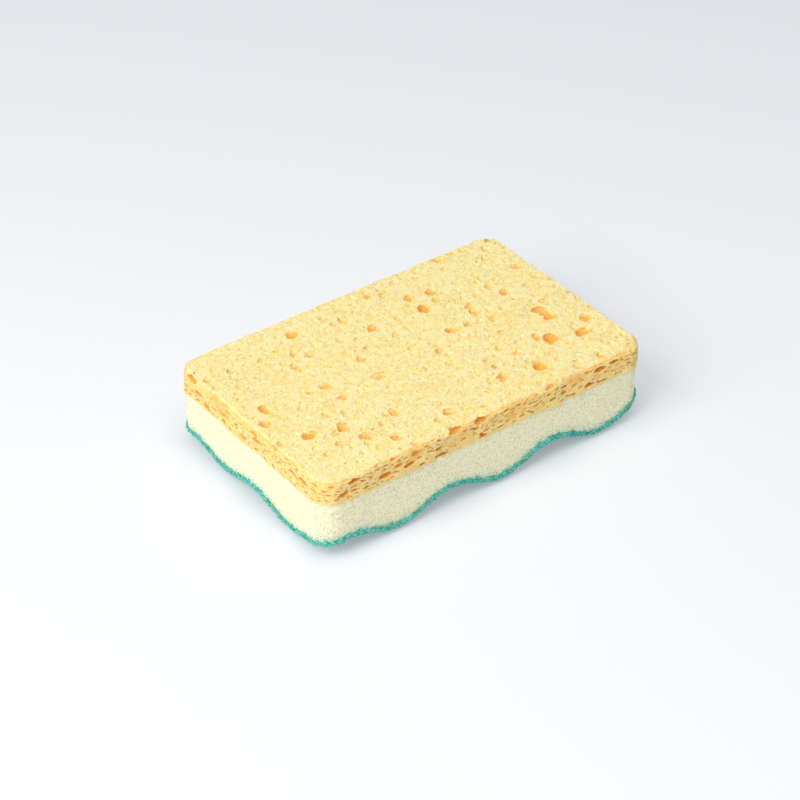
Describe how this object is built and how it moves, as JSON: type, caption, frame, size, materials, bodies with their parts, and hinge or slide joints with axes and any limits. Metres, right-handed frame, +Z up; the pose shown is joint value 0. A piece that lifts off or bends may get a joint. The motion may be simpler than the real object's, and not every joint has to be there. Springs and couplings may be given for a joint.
{
  "type": "scouring sponge",
  "caption": "Rectangular kitchen sponge with a porous cellulose face, a wavy foam core and a rough scouring coat on the wavy side.",
  "frame": {"origin": "centre of the footprint, on the plane that the lowest crests of the wavy scouring side stand on", "axes": "+X along the long side, +Y across the width, +Z up through the layers, from the scouring coat to the cellulose face"},
  "size_m": [0.11, 0.07, 0.0255],
  "materials": {
    "cellulose_sponge": "open-pored cellulose sponge, matt",
    "cream_foam": "fine open-cell polyurethane foam, matt",
    "teal_scouring_grit": "rough granular scouring coat, matt"
  },
  "bodies": {
    "root": {"cellulose_layer": "cellulose_sponge", "foam_layer": "cream_foam", "scouring_coat": "teal_scouring_grit"}
  },
  "joints": []
}
